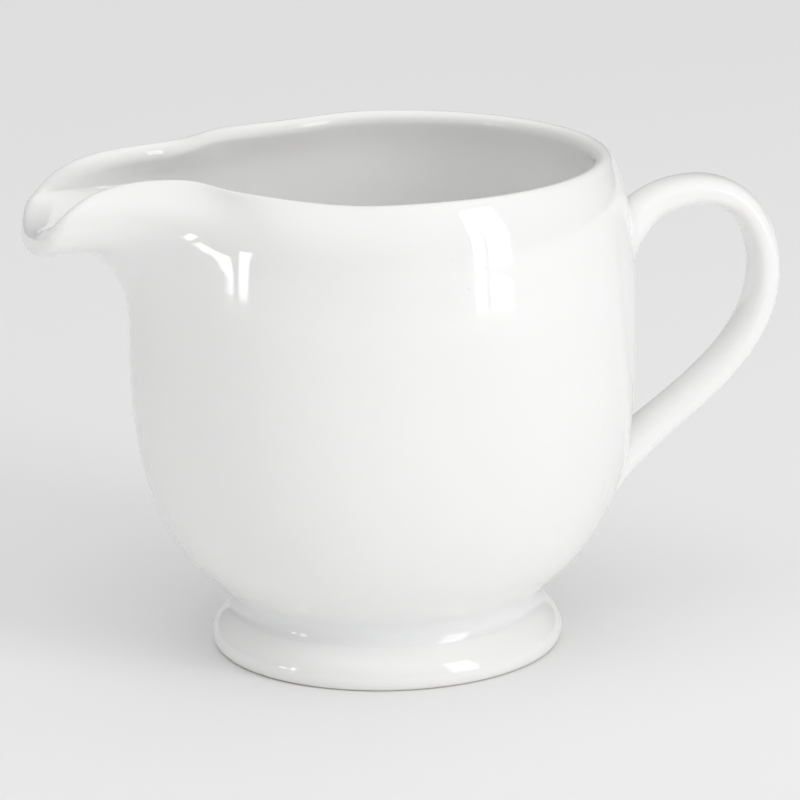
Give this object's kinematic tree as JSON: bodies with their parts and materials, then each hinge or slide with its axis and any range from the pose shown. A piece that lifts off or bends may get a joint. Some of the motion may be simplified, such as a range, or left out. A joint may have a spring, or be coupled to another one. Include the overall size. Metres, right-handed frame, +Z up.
{
  "type": "cream jug",
  "caption": "Footed round porcelain cream jug with a broad pouring lip and a strap handle, for serving cream or milk.",
  "frame": {"origin": "on the resting plane, below the middle of the jug's overall length; the bowl's turning axis stands 4.0 mm towards the lip from it", "axes": "+X towards the handle, -X towards the pouring lip, +Z up, +Y to the left of someone looking along +X"},
  "size_m": [0.1219, 0.0812, 0.0808],
  "materials": {
    "glaze": "clear gloss glaze over white porcelain",
    "slip": "fired white slip under the same glaze"
  },
  "bodies": {
    "root": {"bowl": "glaze", "spout": "glaze", "foot": "glaze", "handle": "glaze", "spout_slip_joint": "slip", "foot_slip_joint": "slip", "handle_upper_slip_joint": "slip", "handle_lower_slip_joint": "slip"}
  },
  "joints": []
}
